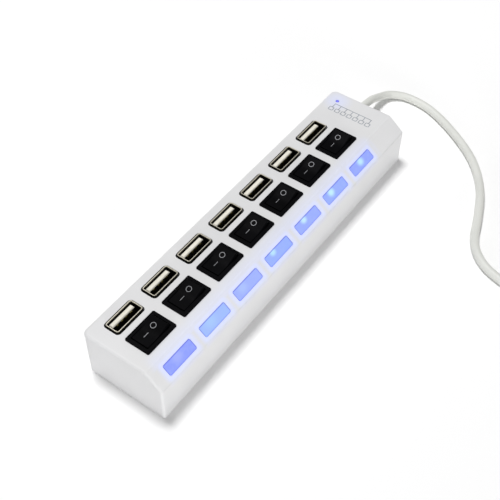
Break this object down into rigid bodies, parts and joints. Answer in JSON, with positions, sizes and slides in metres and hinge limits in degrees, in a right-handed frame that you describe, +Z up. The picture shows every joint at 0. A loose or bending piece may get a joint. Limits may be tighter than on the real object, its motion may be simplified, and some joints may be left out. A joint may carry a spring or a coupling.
{
  "type": "usb hub",
  "caption": "Slim desktop USB hub: a row of upright ports, each with its own rocker switch and lit blue window on a sloping edge, and a captive cord with a standard-A plug.",
  "frame": {"origin": "middle of the housing's underside, on the surface it rests on", "axes": "+X along the housing to the end that the cord leaves, +Z up, light windows on the -Y side"},
  "size_m": [0.1998, 0.1454, 0.0236],
  "materials": {
    "white_housing": "satin moulded ABS",
    "screw_steel": "zinc plated",
    "circuit_board": "solder mask",
    "chip_black": "moulded epoxy",
    "nickel": "nickel plated steel",
    "capacitor_sleeve": "shrink sleeve",
    "insulator_cream": "nylon",
    "gold_contact": "gold flashed",
    "brass_terminal": "bare brass",
    "led_package": "LED package",
    "power_led_lens": "lit blue lens",
    "wire_insulation": "PVC",
    "cord_jacket": "off-white PVC jacket",
    "tie_strap": "soft strap",
    "plug_grip": "moulded PVC",
    "switch_black": "satin nylon",
    "window_blue": "frosted, lit blue from behind"
  },
  "bodies": {
    "root": {"upper_shell": "white_housing", "base_plate": "white_housing", "case_screws": "screw_steel", "main_pcb": "circuit_board", "hub_chips": "chip_black", "crystal": "nickel", "capacitors": "capacitor_sleeve", "chip_resistors": "chip_black", "usb_insulators": "insulator_cream", "usb_contacts": "gold_contact", "switch_terminals": "brass_terminal", "port_leds": "led_package", "power_led": "power_led_lens", "strain_relief": "cord_jacket", "inner_wires": "wire_insulation", "cord_tube": "cord_jacket", "cord_coil": "cord_jacket", "cord_tie": "tie_strap", "cord_tail": "cord_jacket", "plug_body": "plug_grip", "plug_shell": "nickel", "plug_insulator": "insulator_cream", "plug_contacts": "gold_contact", "usb_shell_1": "nickel", "switch_body_1": "switch_black", "light_window_1": "window_blue", "usb_shell_2": "nickel", "switch_body_2": "switch_black", "light_window_2": "window_blue", "usb_shell_3": "nickel", "switch_body_3": "switch_black", "light_window_3": "window_blue", "usb_shell_4": "nickel", "switch_body_4": "switch_black", "light_window_4": "window_blue", "usb_shell_5": "nickel", "switch_body_5": "switch_black", "light_window_5": "window_blue", "usb_shell_6": "nickel", "switch_body_6": "switch_black", "light_window_6": "window_blue", "usb_shell_7": "nickel", "switch_body_7": "switch_black", "light_window_7": "window_blue"},
    "rocker_1": {"rocker_1": "switch_black"},
    "contact_blade_1": {"contact_blade_1": "brass_terminal"},
    "rocker_2": {"rocker_2": "switch_black"},
    "contact_blade_2": {"contact_blade_2": "brass_terminal"},
    "rocker_3": {"rocker_3": "switch_black"},
    "contact_blade_3": {"contact_blade_3": "brass_terminal"},
    "rocker_4": {"rocker_4": "switch_black"},
    "contact_blade_4": {"contact_blade_4": "brass_terminal"},
    "rocker_5": {"rocker_5": "switch_black"},
    "contact_blade_5": {"contact_blade_5": "brass_terminal"},
    "rocker_6": {"rocker_6": "switch_black"},
    "contact_blade_6": {"contact_blade_6": "brass_terminal"},
    "rocker_7": {"rocker_7": "switch_black"},
    "contact_blade_7": {"contact_blade_7": "brass_terminal"}
  },
  "joints": [
    {"name": "rocker_1_tilt", "type": "hinge", "parent": "root", "child": "rocker_1", "pos_m": [-0.06435, -0.0016, 0.0201], "axis": [0, 1, 0], "range_deg": [0, 20]},
    {"name": "contact_blade_1_tilt", "type": "hinge", "parent": "root", "child": "contact_blade_1", "pos_m": [-0.06435, -0.0016, 0.013], "axis": [0, 1, 0], "range_deg": [-12, 0]},
    {"name": "rocker_2_tilt", "type": "hinge", "parent": "root", "child": "rocker_2", "pos_m": [-0.04525, -0.0016, 0.0201], "axis": [0, 1, 0], "range_deg": [0, 20]},
    {"name": "contact_blade_2_tilt", "type": "hinge", "parent": "root", "child": "contact_blade_2", "pos_m": [-0.04525, -0.0016, 0.013], "axis": [0, 1, 0], "range_deg": [-12, 0]},
    {"name": "rocker_3_tilt", "type": "hinge", "parent": "root", "child": "rocker_3", "pos_m": [-0.02615, -0.0016, 0.0201], "axis": [0, 1, 0], "range_deg": [0, 20]},
    {"name": "contact_blade_3_tilt", "type": "hinge", "parent": "root", "child": "contact_blade_3", "pos_m": [-0.02615, -0.0016, 0.013], "axis": [0, 1, 0], "range_deg": [-12, 0]},
    {"name": "rocker_4_tilt", "type": "hinge", "parent": "root", "child": "rocker_4", "pos_m": [-0.00705, -0.0016, 0.0201], "axis": [0, 1, 0], "range_deg": [0, 20]},
    {"name": "contact_blade_4_tilt", "type": "hinge", "parent": "root", "child": "contact_blade_4", "pos_m": [-0.00705, -0.0016, 0.013], "axis": [0, 1, 0], "range_deg": [-12, 0]},
    {"name": "rocker_5_tilt", "type": "hinge", "parent": "root", "child": "rocker_5", "pos_m": [0.01205, -0.0016, 0.0201], "axis": [0, 1, 0], "range_deg": [0, 20]},
    {"name": "contact_blade_5_tilt", "type": "hinge", "parent": "root", "child": "contact_blade_5", "pos_m": [0.01205, -0.0016, 0.013], "axis": [0, 1, 0], "range_deg": [-12, 0]},
    {"name": "rocker_6_tilt", "type": "hinge", "parent": "root", "child": "rocker_6", "pos_m": [0.03115, -0.0016, 0.0201], "axis": [0, 1, 0], "range_deg": [0, 20]},
    {"name": "contact_blade_6_tilt", "type": "hinge", "parent": "root", "child": "contact_blade_6", "pos_m": [0.03115, -0.0016, 0.013], "axis": [0, 1, 0], "range_deg": [-12, 0]},
    {"name": "rocker_7_tilt", "type": "hinge", "parent": "root", "child": "rocker_7", "pos_m": [0.05025, -0.0016, 0.0201], "axis": [0, 1, 0], "range_deg": [0, 20]},
    {"name": "contact_blade_7_tilt", "type": "hinge", "parent": "root", "child": "contact_blade_7", "pos_m": [0.05025, -0.0016, 0.013], "axis": [0, 1, 0], "range_deg": [-12, 0]}
  ],
  "couplings": [
    {"joint": "contact_blade_1_tilt", "follows": "rocker_1_tilt", "ratio": -0.6},
    {"joint": "contact_blade_2_tilt", "follows": "rocker_2_tilt", "ratio": -0.6},
    {"joint": "contact_blade_3_tilt", "follows": "rocker_3_tilt", "ratio": -0.6},
    {"joint": "contact_blade_4_tilt", "follows": "rocker_4_tilt", "ratio": -0.6},
    {"joint": "contact_blade_5_tilt", "follows": "rocker_5_tilt", "ratio": -0.6},
    {"joint": "contact_blade_6_tilt", "follows": "rocker_6_tilt", "ratio": -0.6},
    {"joint": "contact_blade_7_tilt", "follows": "rocker_7_tilt", "ratio": -0.6}
  ]
}
